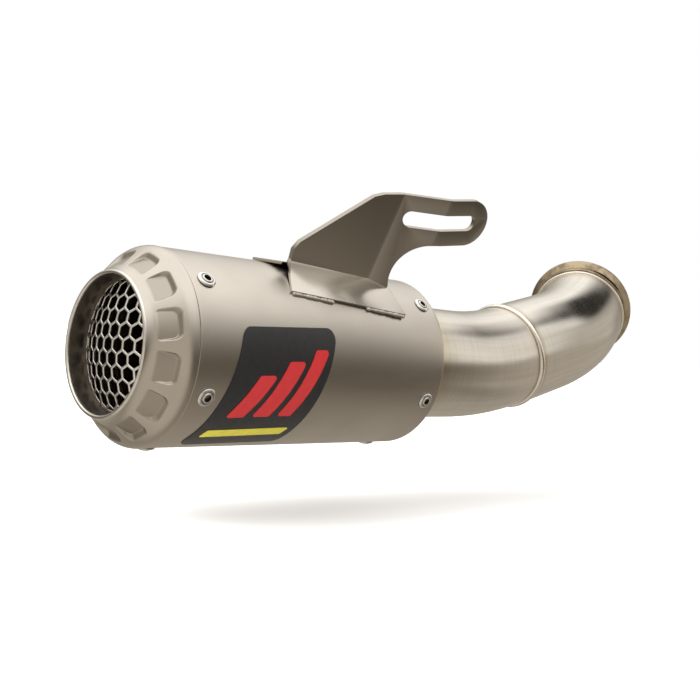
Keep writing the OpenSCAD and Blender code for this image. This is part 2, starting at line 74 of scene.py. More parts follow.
def unplaced(point):
    return (np.asarray(point, float) - mouthPoint) / mm


sleeveLow, sleeveHigh = (unplaced(p) for p in boxOf("sleeve"))

silencer = {
    "radius": (sleeveHigh[1] - sleeveLow[1]) / 2,
    "front": sleeveLow[0],
    "rear": sleeveHigh[0],
    "sheet": 1.0,
    "edgeRound": 0.5,
    "rivetDimple": 0.10,
    "steps": 320,
}

route = {  # the pipe's centre line
    "firstBend": silencer["rear"] + 56.6,
    "firstRadius": 254.0,
    "firstAngle": np.radians(14.0),
    "lead": 48.3,
    "secondRadius": 159.3,
    "secondAngle": np.radians(28.1),
    "roll": np.radians(63.7),
}


# Mesh makers
def addMesh(name, points, faces, sharpAngle=None):
    mesh = bpy.data.meshes.new(name)
    mesh.from_pydata(np.asarray(points).reshape(-1, 3).tolist(), [], np.asarray(faces).tolist())
    mesh.validate()
    mesh.shade_smooth()
    if sharpAngle is not None:
        mesh.set_sharp_from_angle(angle=np.radians(sharpAngle))
    piece = bpy.data.objects.new(name, mesh)
    bpy.context.scene.collection.objects.link(piece)
    return piece


def gridFaces(rows, cols, wrapRows, wrapCols):
    # Face i,j joins grid points (i,j) (i+1,j) (i+1,j+1) (i,j+1)
    index = np.arange(rows * cols).reshape(rows, cols)
    if wrapRows:
        index = np.vstack([index, index[:1]])
    if wrapCols:
        index = np.hstack([index, index[:, :1]])
    return np.stack([index[:-1, :-1], index[1:, :-1], index[1:, 1:], index[:-1, 1:]], -1).reshape(-1, 4)


def faceOutwards(piece):
    work = bmesh.new()
    work.from_mesh(piece.data)
    bmesh.ops.recalc_face_normals(work, faces=work.faces)
    work.to_mesh(piece.data)
    work.free()
    return piece


def addAttribute(piece, name, values, kind="FLOAT_VECTOR"):
    layer = piece.data.attributes.new(name, kind, "POINT")
    layer.data.foreach_set("vector" if kind == "FLOAT_VECTOR" else "value",
                           np.asarray(values, np.float32).ravel())


def finish(piece, material, slotName, *nodes):
    piece.data.materials.append(material)
    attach(piece, "root")
    if nodes:
        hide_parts(*nodes)
    return piece


def roundCorners(points, radii, steps=5):
    # Each corner gives way to an arc that touches both its sides: c + r (cos a, sin a)
    points = np.asarray(points, float)
    count = len(points)
    out = []
    for i in range(count):
        p, r = points[i], radii[i]
        before, after = points[i - 1] - p, points[(i + 1) % count] - p
        a, b = before / np.linalg.norm(before), after / np.linalg.norm(after)
        half = np.arccos(np.clip(a @ b, -1, 1)) / 2
        if r <= 0 or half > 1.55:
            out.append(p[None])
            continue
        middle = p + (a + b) / np.linalg.norm(a + b) * r / np.sin(half)
        start, end = p + a * r / np.tan(half) - middle, p + b * r / np.tan(half) - middle
        a0, a1 = np.arctan2(start[1], start[0]), np.arctan2(end[1], end[0])
        turn = (a1 - a0 + np.pi) % (2 * np.pi) - np.pi
        angles = a0 + turn * np.linspace(0, 1, steps)
        out.append(middle + r * np.stack([np.cos(angles), np.sin(angles)], 1))
    return np.vstack(out)


def subdivided(profile, longest):
    # More points on the long sides of a closed profile
    out = []
    for p, q in zip(profile, np.roll(profile, -1, 0)):
        count = max(1, int(np.ceil(np.linalg.norm(q - p) / longest)))
        out.append(p + (q - p) * (np.arange(count) / count)[:, None])
    return np.vstack(out)


def turnedGrid(profile, steps, shift=None):
    # (x, -r cos t, r sin t) for each profile point (x, r), with t measured up from level
    t = np.arange(steps) / steps * 2 * np.pi
    x = profile[:, :1] + 0 * t
    r = profile[:, 1:2] + 0 * t
    if shift is not None:
        r = r + shift(x, t[None, :] + 0 * x)
    return np.stack([x, -r * np.cos(t), r * np.sin(t)], -1), t


def turnedPiece(name, profile, steps, shift=None, carry=None, sharpAngle=40):
    grid, t = turnedGrid(np.asarray(profile, float), steps, shift)
    flat = grid.reshape(-1, 3)
    where = placed(flat) if carry is None else placed(carry(flat))
    piece = addMesh(name, where, gridFaces(*grid.shape[:2], True, True), sharpAngle=sharpAngle)
    addAttribute(piece, "straight", flat * mm)
    return faceOutwards(piece)


# Route frames: a point s mm along the pipe has a centre, a heading and two square directions
def legOne(s):
    # straight to the first bend, then C = (x0 + R sin a, 0, R (1 - cos a))
    over = np.maximum(s - route["firstBend"], 0) / route["firstRadius"]
    x = np.minimum(s, route["firstBend"]) + route["firstRadius"] * np.sin(over)
    z = route["firstRadius"] * (1 - np.cos(over))
    zero = 0 * s
    centre = np.stack([x, zero, z], -1)
    up = np.stack([-np.sin(over), zero, np.cos(over)], -1)
    side = np.stack([zero, zero - 1, zero], -1)
    ahead = np.stack([np.cos(over), zero, np.sin(over)], -1)
    return centre, ahead, side, up


legOneEnd = route["firstBend"] + route["firstRadius"] * route["firstAngle"]
jointPoint, jointAhead, jointSide, jointUp = (v[0] for v in legOne(np.array([legOneEnd])))
turnUp = np.cos(route["roll"]) * jointUp - np.sin(route["roll"]) * jointSide
turnSide = np.cross(turnUp, jointAhead)


def legTwo(s):
    # straight for the lead, then C = start + R (sin b ahead + (1 - cos b) turnUp)
    b = np.maximum(s - route["lead"], 0) / route["secondRadius"]
    run = np.minimum(s, route["lead"]) + route["secondRadius"] * np.sin(b)
    rise = route["secondRadius"] * (1 - np.cos(b))
    centre = jointPoint + run[:, None] * jointAhead + rise[:, None] * turnUp
    up = np.cos(b)[:, None] * turnUp - np.sin(b)[:, None] * jointAhead
    ahead = np.cos(b)[:, None] * jointAhead + np.sin(b)[:, None] * turnUp
    side = np.repeat(turnSide[None], len(s), 0)
    return centre, ahead, side, up


legTwoEnd = route["lead"] + route["secondRadius"] * route["secondAngle"]


def carriedBy(leg, s):
    # Moves points drawn round +x from the origin to the route's frame at s
    centre, ahead, side, up = (v[0] for v in leg(np.array([float(s)])))
    return lambda p: centre + p[:, :1] * ahead - p[:, 1:2] * side + p[:, 2:3] * up


def sweptTube(name, leg, s0, s1, rOut, rIn, steps, rows, offset=0.0):
    # C(s) + r (cos t side + sin t up), out along the outside and back along the inside
    s = np.linspace(s0, s1, rows)
    t = np.arange(steps) / steps * 2 * np.pi
    sBack = np.linspace(s1, s0, max(rows // 3, 12))
    allS = np.concatenate([s, sBack])
    r = np.concatenate([np.full(len(s), rOut), np.full(len(sBack), rIn)])
    centre, ahead, side, up = leg(allS)
    rr = r[:, None] + 0 * t[None, :]
    grid = (centre[:, None] + rr[..., None] * (np.cos(t)[None, :, None] * side[:, None]
                                               + np.sin(t)[None, :, None] * up[:, None]))
    straight = np.stack([(offset + allS)[:, None] + 0 * t, rr * np.cos(t), rr * np.sin(t)], -1)
    piece = addMesh(name, placed(grid.reshape(-1, 3)), gridFaces(*grid.shape[:2], True, True), sharpAngle=50)
    addAttribute(piece, "straight", straight * mm)
    return faceOutwards(piece)


# Shader groups
def newGroup(name, inputs, outputs):
    group = bpy.data.node_groups.new(name, "ShaderNodeTree")
    for label, kind, value in inputs:
        socket = group.interface.new_socket(name=label, in_out="INPUT", socket_type=kind)
        if value is not None:
            socket.default_value = value
    for label, kind in outputs:
        group.interface.new_socket(name=label, in_out="OUTPUT", socket_type=kind)
    start, end = group.nodes.new("NodeGroupInput"), group.nodes.new("NodeGroupOutput")
    return group, start, end


def node(tree, kind, **values):
    made = tree.nodes.new(kind)
    for key, value in values.items():
        setattr(made, key, value)
    return made


def maths(tree, operation, a, b=None, c=None):
    made = node(tree, "ShaderNodeMath", operation=operation)
    for socket, value in zip(made.inputs, (a, b, c)):
        if value is None:
            continue
        if isinstance(value, (int, float)):
            socket.default_value = value
        else:
            tree.links.new(value, socket)
    return made.outputs[0]


def noise(tree, vector, scale, detail=3.0, roughness=0.55):
    made = node(tree, "ShaderNodeTexNoise")
    made.inputs["Scale"].default_value = scale
    made.inputs["Detail"].default_value = detail
    made.inputs["Roughness"].default_value = roughness
    tree.links.new(vector, made.inputs["Vector"])
    return made.outputs["Fac"]


def stretched(tree, vector, scale):
    made = node(tree, "ShaderNodeMapping")
    made.inputs["Scale"].default_value = scale
    tree.links.new(vector, made.inputs["Vector"])
    return made.outputs["Vector"]


def mixed(tree, factor, a, b):
    made = node(tree, "ShaderNodeMix", data_type="RGBA")
    for socket, value in ((made.inputs[0], factor), (made.inputs[6], a), (made.inputs[7], b)):
        if isinstance(value, (int, float)):
            socket.default_value = value
        elif isinstance(value, tuple):
            socket.default_value = (*value, 1.0) if len(value) == 3 else value
        else:
            tree.links.new(value, socket)
    return made.outputs[2]


def between(tree, value, low, high, outLow=0.0, outHigh=1.0):
    made = node(tree, "ShaderNodeMapRange", interpolation_type="SMOOTHSTEP")
    tree.links.new(value, made.inputs["Value"])
    for label, number in (("From Min", low), ("From Max", high), ("To Min", outLow), ("To Max", outHigh)):
        made.inputs[label].default_value = number
    return made.outputs["Result"]


def buildBlastGroup():
    # Bead blasted metal: fine pits, soft clouds of tone and a few faint handling marks
    group, start, end = newGroup("beadBlast", [
        ("Vector", "NodeSocketVector", None), ("Colour", "NodeSocketColor", (0.6, 0.55, 0.48, 1)),
        ("Dark", "NodeSocketColor", (0.4, 0.36, 0.3, 1)), ("Roughness", "NodeSocketFloat", 0.36),
        ("Clouds", "NodeSocketFloat", 0.35), ("Pits", "NodeSocketFloat", 1.0)],
        [("Colour", "NodeSocketColor"), ("Roughness", "NodeSocketFloat"), ("Height", "NodeSocketFloat")])
    v = start.outputs["Vector"]
    cloud = between(group, noise(group, v, 22.0, 4.0), 0.32, 0.72)
    pit = noise(group, v, 2600.0, 2.0, 0.6)
    speck = noise(group, v, 900.0, 3.0, 0.6)
    streak = noise(group, stretched(group, v, (14.0, 160.0, 160.0)), 1.0, 3.0)
    marks = between(group, streak, 0.60, 0.74)
    tone = maths(group, "MULTIPLY", cloud, start.outputs["Clouds"])
    colour = mixed(group, tone, start.outputs["Colour"], start.outputs["Dark"])
    colour = mixed(group, maths(group, "MULTIPLY", between(group, speck, 0.55, 0.8), 0.22), colour,
                   start.outputs["Dark"])
    group.links.new(colour, end.inputs["Colour"])
    rough = maths(group, "ADD", start.outputs["Roughness"],
                  maths(group, "MULTIPLY", maths(group, "SUBTRACT", cloud, 0.5), 0.07))
    rough = maths(group, "SUBTRACT", rough, maths(group, "MULTIPLY", marks, 0.05))
    group.links.new(rough, end.inputs["Roughness"])
    height = maths(group, "ADD", maths(group, "MULTIPLY", pit, start.outputs["Pits"]),
                   maths(group, "MULTIPLY", speck, 0.6))
    group.links.new(height, end.inputs["Height"])
    return group


def buildBrushGroup():
    # Polished tube: rings of fine polishing lines, long soft drawing lines and smudges
    group, start, end = newGroup("polishLines", [
        ("Vector", "NodeSocketVector", None), ("Roughness", "NodeSocketFloat", 0.2),
        ("Lines", "NodeSocketFloat", 1.0)],
        [("Tone", "NodeSocketFloat"), ("Roughness", "NodeSocketFloat"), ("Height", "NodeSocketFloat")])
    v = start.outputs["Vector"]
    rings = noise(group, stretched(group, v, (1400.0, 14.0, 14.0)), 1.0, 3.0, 0.6)
    drawn = noise(group, stretched(group, v, (6.0, 260.0, 260.0)), 1.0, 3.0, 0.6)
    smudge = between(group, noise(group, v, 30.0, 4.0), 0.35, 0.75)
    tone = maths(group, "ADD", maths(group, "MULTIPLY", drawn, 0.6), maths(group, "MULTIPLY", rings, 0.4))
    group.links.new(tone, end.inputs["Tone"])
    rough = maths(group, "ADD", start.outputs["Roughness"], maths(group, "MULTIPLY", smudge, 0.08))
    rough = maths(group, "ADD", rough, maths(group, "MULTIPLY", maths(group, "SUBTRACT", tone, 0.5), 0.12))
    group.links.new(rough, end.inputs["Roughness"])
    height = maths(group, "MULTIPLY", maths(group, "ADD", maths(group, "MULTIPLY", rings, 0.5),
                                            maths(group, "MULTIPLY", drawn, 0.5)), start.outputs["Lines"])
    group.links.new(height, end.inputs["Height"])
    return group


def buildTintGroup():
    # Heat tint: colours that spread each side of a weld at Place along the pipe
    group, start, end = newGroup("heatTint", [
        ("Along", "NodeSocketFloat", 0.0), ("Wander", "NodeSocketFloat", 0.0),
        ("Place", "NodeSocketFloat", 0.0), ("Spread", "NodeSocketFloat", 0.012),
        ("Base", "NodeSocketColor", (0.6, 0.55, 0.48, 1)), ("Straw", "NodeSocketColor", (0.62, 0.5, 0.3, 1)),
        ("Brown", "NodeSocketColor", (0.3, 0.2, 0.12, 1)), ("Strength", "NodeSocketFloat", 1.0)],
        [("Colour", "NodeSocketColor")])
    away = maths(group, "ABSOLUTE", maths(group, "SUBTRACT", start.outputs["Along"], start.outputs["Place"]))
    away = maths(group, "DIVIDE", away, start.outputs["Spread"])
    away = maths(group, "ADD", away, maths(group, "MULTIPLY", start.outputs["Wander"], 0.35))
    straw = maths(group, "MULTIPLY", between(group, away, 0.35, 1.1, 1.0, 0.0), start.outputs["Strength"])
    brown = maths(group, "MULTIPLY", between(group, away, 0.12, 0.42, 1.0, 0.0), start.outputs["Strength"])
    colour = mixed(group, straw, start.outputs["Base"], start.outputs["Straw"])
    colour = mixed(group, brown, colour, start.outputs["Brown"])
    group.links.new(colour, end.inputs["Colour"])
    return group


blastGroup, brushGroup, tintGroup = buildBlastGroup(), buildBrushGroup(), buildTintGroup()


# Materials
def newMaterial(name, metallic, roughness, colour=(0.5, 0.5, 0.5)):
    material = bpy.data.materials.new(name)
    material.use_nodes = True
    shader = material.node_tree.nodes["Principled BSDF"]
    shader.inputs["Metallic"].default_value = metallic
    shader.inputs["Roughness"].default_value = roughness
    shader.inputs["Base Color"].default_value = (*colour, 1)
    return material, material.node_tree, shader


def useGroup(tree, group, **values):
    made = tree.nodes.new("ShaderNodeGroup")
    made.node_tree = group
    for label, value in values.items():
        if isinstance(value, (int, float)):
            made.inputs[label].default_value = value
        elif isinstance(value, tuple):
            made.inputs[label].default_value = (*value, 1.0)
        else:
            tree.links.new(value, made.inputs[label])
    return made


def objectPlace(tree):
    return tree.nodes.new("ShaderNodeTexCoord").outputs["Object"]


def attributeOf(tree, name, socket="Vector"):
    return node(tree, "ShaderNodeAttribute", attribute_name=name).outputs[socket]


def bumpInto(tree, shader, height, distance):
    bump = tree.nodes.new("ShaderNodeBump")
    bump.inputs["Strength"].default_value = 1.0
    bump.inputs["Distance"].default_value = distance
    tree.links.new(height, bump.inputs["Height"])
    tree.links.new(bump.outputs["Normal"], shader.inputs["Normal"])


def canMetal():
    # Bead blasted titanium with soft clouds
    material, tree, shader = newMaterial("blastedCan", 1.0, 0.32, canColour["light"])
    blast = useGroup(tree, blastGroup, Vector=objectPlace(tree), Colour=canColour["light"],
                     Dark=canColour["dark"], Roughness=0.32, Clouds=0.26, Pits=1.0)
    tree.links.new(blast.outputs["Colour"], shader.inputs["Base Color"])
    tree.links.new(blast.outputs["Roughness"], shader.inputs["Roughness"])
    bumpInto(tree, shader, blast.outputs["Height"], 0.00001)
    return material


def polishedTube(name, colour, dark, roughness, welds, lines=1.0):
    # welds holds (place along in m, spread in m, strength, straw, brown)
    material, tree, shader = newMaterial(name, 1.0, roughness, colour)
    straight = attributeOf(tree, "straight")
    split = tree.nodes.new("ShaderNodeSeparateXYZ")
    tree.links.new(straight, split.inputs[0])
    brush = useGroup(tree, brushGroup, Vector=straight, Roughness=roughness, Lines=lines)
    shade = mixed(tree, between(tree, brush.outputs["Tone"], 0.38, 0.7), colour, dark)
    wander = noise(tree, straight, 45.0, 3.0)
    for place, spread, strength, straw, brown in welds:
        tint = useGroup(tree, tintGroup, Along=split.outputs[0], Wander=wander, Place=place, Spread=spread,
                        Base=shade, Straw=straw, Brown=brown, Strength=strength)
        shade = tint.outputs["Colour"]
    tree.links.new(shade, shader.inputs["Base Color"])
    tree.links.new(brush.outputs["Roughness"], shader.inputs["Roughness"])
    bumpInto(tree, shader, brush.outputs["Height"], 0.000012)
    return material


def plainMetal(name, colour, dark, roughness, scale=160.0, amount=0.5, bump=0.00001, metallic=1.0):
    material, tree, shader = newMaterial(name, metallic, roughness, colour)
    place = objectPlace(tree)
    cloud = noise(tree, place, scale, 4.0, 0.6)
    fine = noise(tree, place, scale * 9, 3.0, 0.6)
    shade = mixed(tree, maths(tree, "MULTIPLY", between(tree, cloud, 0.4, 0.68), amount), colour, dark)
    tree.links.new(shade, shader.inputs["Base Color"])
    tree.links.new(maths(tree, "ADD", maths(tree, "MULTIPLY", cloud, 0.16), roughness - 0.08),
                   shader.inputs["Roughness"])
    bumpInto(tree, shader, fine, bump)
    return material


canColour = {"light": (0.560, 0.515, 0.455), "dark": (0.440, 0.400, 0.345)}
beadPlace = {"neck": unplaced((boxOf("neck_bead")[0] + boxOf("neck_bead")[1]) / 2)[0] * mm,
             "joint": legOneEnd * mm, "flange": (legOneEnd + legTwoEnd) * mm}

blastedCan = canMetal()
rolledLip = plainMetal("rolledLip", (0.80, 0.77, 0.72), (0.62, 0.58, 0.52), 0.20, 220.0)
sootedTube = plainMetal("sootedTube", (0.20, 0.175, 0.145), (0.10, 0.085, 0.07), 0.42, 90.0, 0.8)
meshSteel = plainMetal("meshSteel", (0.93, 0.91, 0.88), (0.60, 0.56, 0.52), 0.22, 300.0, 0.4)
coreSteel = plainMetal("coreSteel", (0.16, 0.115, 0.09), (0.06, 0.045, 0.035), 0.5, 140.0, 0.8)
woolSteel = plainMetal("woolSteel", (0.35, 0.33, 0.30), (0.12, 0.10, 0.09), 0.6, 900.0, 0.9, 0.0004)
glassFibre = plainMetal("glassFibre", (0.80, 0.72, 0.50), (0.55, 0.46, 0.28), 0.9, 700.0, 0.8, 0.0004, 0.0)
weldMetal = plainMetal("weldMetal", (0.84, 0.80, 0.73), (0.60, 0.53, 0.43), 0.16, 260.0, 0.4)
footWeld = plainMetal("footWeld", (0.56, 0.515, 0.455), (0.44, 0.40, 0.345), 0.34, 420.0, 0.5, 0.00003)
linkMetal = polishedTube("linkMetal", (0.68, 0.635, 0.57), (0.59, 0.545, 0.48), 0.18, [
    (beadPlace["neck"] + 0.004, 0.020, 0.65, (0.56, 0.48, 0.30), (0.45, 0.36, 0.20)),
    (beadPlace["joint"], 0.0085, 0.9, (0.50, 0.40, 0.28), (0.24, 0.165, 0.11))])
elbowMetal = polishedTube("elbowMetal", (0.68, 0.64, 0.575), (0.59, 0.55, 0.485), 0.15, [
    (beadPlace["joint"], 0.0085, 0.9, (0.50, 0.40, 0.28), (0.24, 0.165, 0.11)),
    (beadPlace["flange"], 0.016, 0.7, (0.50, 0.40, 0.24), (0.30, 0.21, 0.12))])
flangeMetal = plainMetal("flangeMetal", (0.42, 0.335, 0.225), (0.17, 0.125, 0.075), 0.16, 120.0, 0.8)
badgeFilm = {"scale": 300.0, "amount": 0.6, "bump": 0.000004, "metallic": 0.0}
badgeBlack = plainMetal("badgeBlack", (0.014, 0.014, 0.0145), (0.009, 0.009, 0.0095), 0.38, **badgeFilm)
badgeRed = plainMetal("badgeRed", (0.42, 0.010, 0.012), (0.36, 0.008, 0.010), 0.40, **badgeFilm)
badgeYellow = plainMetal("badgeYellow", (0.52, 0.45, 0.035), (0.44, 0.38, 0.03), 0.42, **badgeFilm)


def capMetal():
    # The floors of the pockets are rougher than the lands between them, and a browner painted shade darkens
    # them by their depth
    material, tree, shader = newMaterial("blastedCap", 1.0, 0.3)
    blast = useGroup(tree, blastGroup, Vector=objectPlace(tree), Colour=(0.56, 0.515, 0.45),
                     Dark=(0.43, 0.39, 0.33), Roughness=0.27, Clouds=0.25, Pits=1.0)
    pocketShade = maths(tree, "MULTIPLY", attributeOf(tree, "pocketShade", "Fac"), 0.55)
    # painted shade: the pocket floors are mixed towards a dark brown
    shade = mixed(tree, pocketShade, blast.outputs["Colour"], (0.31, 0.27, 0.225))
    tree.links.new(shade, shader.inputs["Base Color"])
    rough = maths(tree, "MULTIPLY_ADD", pocketShade, 0.12, blast.outputs["Roughness"])
    tree.links.new(rough, shader.inputs["Roughness"])
    bumpInto(tree, shader, blast.outputs["Height"], 0.00001)
    return material


def rivetMetal():
    # A bright rim and hub; the groove and the open middle are darkened with painted shade
    material, tree, shader = newMaterial("rivetSteel", 1.0, 0.2)
    split = tree.nodes.new("ShaderNodeSeparateXYZ")
    tree.links.new(attributeOf(tree, "straight"), split.inputs[0])
    squares = [maths(tree, "MULTIPLY", split.outputs[k], split.outputs[k]) for k in (1, 2)]
    radius = maths(tree, "SQRT", maths(tree, "ADD", *squares))
    middle = between(tree, radius, 0.0017, 0.0021, 1.0, 0.0)
    groove = maths(tree, "MULTIPLY", between(tree, radius, 0.0026, 0.0029),
                   between(tree, radius, 0.0032, 0.0035, 1.0, 0.0))
    recessShade = maths(tree, "MAXIMUM", middle, maths(tree, "MULTIPLY", groove, 0.7))
    fine = noise(tree, attributeOf(tree, "straight"), 900.0, 3.0)
    shade = mixed(tree, fine, (0.86, 0.85, 0.83), (0.64, 0.62, 0.59))
    # painted shade in the groove and the open middle
    shade = mixed(tree, recessShade, shade, (0.07, 0.06, 0.05))
    tree.links.new(shade, shader.inputs["Base Color"])
    tree.links.new(maths(tree, "MULTIPLY_ADD", recessShade, 0.25, 0.2), shader.inputs["Roughness"])
    bumpInto(tree, shader, fine, 0.000006)
    return material


def hangerSheetMetal():
    # The web is smooth satin sheet, given a darker colour than the feet as painted shade; the feet share the
    # blasted can's tone
    material, tree, shader = newMaterial("hangerSheet", 1.0, 0.3)
    place = objectPlace(tree)
    # painted shade: the web's colour is darker than the feet's
    blast = useGroup(tree, blastGroup, Vector=place, Colour=(0.40, 0.365, 0.315), Dark=(0.325, 0.292, 0.25),
                     Roughness=0.20, Clouds=0.4, Pits=0.4)
    foot = attributeOf(tree, "foot", "Fac")
    shade = mixed(tree, foot, blast.outputs["Colour"], canColour["light"])
    tree.links.new(shade, shader.inputs["Base Color"])
    tree.links.new(blast.outputs["Roughness"], shader.inputs["Roughness"])
    bumpInto(tree, shader, blast.outputs["Height"], 0.000006)
    return material


hangerSheet, blastedCap, rivetSteel = hangerSheetMetal(), capMetal(), rivetMetal()
print("materials made")


# Outlet cap
cap = {
    "lipRadius": 36.0, "lipSlope": 18.0, "coneSlope": 44.0, "hollow": 10.0, "shoulder": 8.3,
    "shoulderRadius": 50.2, "windows": 13, "firstWindow": 15.9, "windowWidth": 14.6, "windowLength": 10.6,
    "windowCorner": 2.8, "windowFront": 3.4, "windowSlope": 32.0, "windowEdge": 0.42, "stepsPerWindow": 64,
}


def capOutline():
    # Two arcs joined by a straight cone, each point (x, r)
    a0, a1 = np.radians(cap["lipSlope"]), np.radians(cap["coneSlope"])
    hollow = np.linspace(a0, a1, 14)
    first = np.stack([cap["hollow"] * (np.sin(hollow) - np.sin(a0)),
                      cap["lipRadius"] + cap["hollow"] * (np.cos(a0) - np.cos(hollow))], 1)
    rise = cap["shoulderRadius"] - first[-1, 1] - cap["shoulder"] * (1 - np.cos(a1))
    run = rise / np.tan(a1)
    straight = first[-1] + np.array([run, rise]) * np.linspace(0, 1, 16)[1:-1, None]
    end = first[-1, 0] + run + cap["shoulder"] * np.sin(a1)
    lastArc = np.linspace(a1, np.radians(2.5), 26)
    last = np.stack([end - cap["shoulder"] * np.sin(lastArc),
                     cap["shoulderRadius"] - cap["shoulder"] * (1 - np.cos(lastArc))], 1)
    return np.vstack([first, straight, last]), end


def evenly(line, step):
    # The same line with points an even step apart
    lengths = np.concatenate([[0], np.cumsum(np.linalg.norm(np.diff(line, axis=0), axis=1))])
    at = np.linspace(0, lengths[-1], int(lengths[-1] / step) + 1)
    return np.stack([np.interp(at, lengths, line[:, k]) for k in range(line.shape[1])], 1)


def windowSink(x, r, t):
    # Depth (cone - floor) times a soft rounded rectangle in (along the floor, across it)
    slope = np.radians(cap["windowSlope"])
    meanSlope = np.radians((cap["lipSlope"] + cap["coneSlope"]) / 2)
    frontR = cap["lipRadius"] + cap["windowFront"] * np.tan(meanSlope)
    floor = frontR + (x - cap["windowFront"]) * np.tan(slope)
    pitch = 2 * np.pi / cap["windows"]
    off = (t - np.radians(cap["firstWindow"]) + pitch / 2) % pitch - pitch / 2
    u = (x - cap["windowFront"]) / np.cos(slope) - cap["windowLength"] / 2
    v = r * np.sin(off)
    corner = cap["windowCorner"]
    qu = np.abs(u) - cap["windowLength"] / 2 + corner
    qv = np.abs(v) - cap["windowWidth"] / 2 + corner
    away = np.hypot(np.maximum(qu, 0), np.maximum(qv, 0)) + np.minimum(np.maximum(qu, qv), 0) - corner
    soft = np.clip(0.5 - away / (2 * cap["windowEdge"]), 0, 1)
    soft = soft * soft * (3 - 2 * soft)
    return np.maximum(r - floor, 0) * soft


def makeCap():
    outline, end = capOutline()
    outer = evenly(outline, 0.38)
    edge = roundCorners([[outer[-1, 0], outer[-1, 1]], [end, 50.16], [end, 48.9], [end + 6, 48.9]],
                        [0, 0.35, 0.2, 0], 6)[1:-1]
    skirt = np.array([[end + 1.0, 48.9], [end + 14.0, 48.9], [end + 14.0, 47.7], [end - 1.5, 47.7]])
    inside = np.array([[15.5, 45.0], [12.7, 41.6], [8.0, 39.0], [3.4, 36.5], [0.0, 34.88]])
    profile = np.vstack([outer, edge, skirt, inside])
    count = len(outer)

    def sink(x, t):
        shift = np.zeros_like(x)
        shift[:count] = -windowSink(x[:count], outer[:, 1:2] + 0 * t[:count], t[:count])
        return shift
    steps = cap["windows"] * cap["stepsPerWindow"]
    piece = turnedPiece("outletCap", profile, steps, sink, sharpAngle=60)
    grid, t = turnedGrid(profile, steps)
    depth = -sink(grid[..., 0], t[None, :] + 0 * grid[..., 0])
    # the pocket depth, which also sets the painted shade on the pocket floors
    addAttribute(piece, "pocketShade", np.clip(depth / 0.35, 0, 1), "FLOAT")
    return piece


finish(makeCap(), blastedCap, "blasted_titanium", "outlet_cap")


# Sleeve
def rivetSpots(prefix):
    spots = []
    for k in range(1, 6):
        low, high = boxOf("%s_rivet_%d" % (prefix, k))
        middle = unplaced((low + high) / 2)
        spots.append((middle[0], np.arctan2(middle[2], -middle[1])))
    return spots


rivets = {"outlet": rivetSpots("outlet"), "inlet": rivetSpots("inlet")}


def makeSleeve():
    r, x0, x1, sheet, edge = (silencer[k] for k in ("radius", "front", "rear", "sheet", "edgeRound"))
    corners = [[x0, r - sheet], [x0, r], [x1, r], [x1, r - sheet]]
    profile = roundCorners(corners, [0.25, edge, edge, 0.25], 6)
    profile = subdivided(profile, 1.5)

    def dimples(x, t):
        shift = np.zeros_like(x)
        for px, pt in rivets["outlet"] + rivets["inlet"]:
            turn = (t - pt + np.pi) % (2 * np.pi) - np.pi
            shift -= silencer["rivetDimple"] * np.exp(-((x - px) ** 2 + (r * turn) ** 2) / 60.0)
        return shift
    return turnedPiece("sleeveTube", profile, silencer["steps"], dimples, sharpAngle=60)


finish(makeSleeve(), blastedCan, "blasted_titanium", "sleeve")

# Mouth
mouth = {"outer": (mouthHigh[1] - mouthLow[1]) / mm / 2, "wall": 1.0,
         "length": (mouthHigh[0] - mouthLow[0]) / mm, "beadRadius": 1.1}


def makeMouth():
    ro, ri, length = mouth["outer"], mouth["outer"] - mouth["wall"], mouth["length"]
    tube = subdivided(roundCorners([[0, ri], [0, ro], [length, ro], [length, ri]], [0.3, 0.1, 0.3, 0.3]), 2.0)
    finish(turnedPiece("mouthLiner", tube, 240), sootedTube, "tube_titanium", "mouth_tube")
    a = np.linspace(0, np.pi, 13)
    b = mouth["beadRadius"]
    middle = cap["lipRadius"] - b + 0.05
    bead = np.stack([-b * np.sin(a), middle + b * np.cos(a)], 1)
    bead = np.vstack([bead, [[-0.0, middle - b + 0.3]], [[-0.0, middle + b - 0.3]]])
    finish(turnedPiece("lipRoll", bead, 240, sharpAngle=70), rolledLip, "weld_titanium", "lip_bead")


makeMouth()

# Mesh
honeycomb = {"pitch": 7.8, "bar": 1.3, "sheet": 0.8, "dome": 75.0, "inset": 1.4,
             "rim": mouth["outer"] - mouth["wall"] - 0.02, "cornerSteps": 5}


def domeX(radius2):
    # x on a sphere whose top is the inset behind the lip
    return honeycomb["inset"] + honeycomb["dome"] - np.sqrt(honeycomb["dome"] ** 2 - radius2)


def hexRing(radius, corner, steps):
    # A regular hexagon, point up, with each corner an arc
    a = np.radians(30 + 60 * np.arange(6) + 60)
    points = np.stack([np.cos(a), np.sin(a)], 1) * radius
    return roundCorners(points, [corner] * 6, steps)


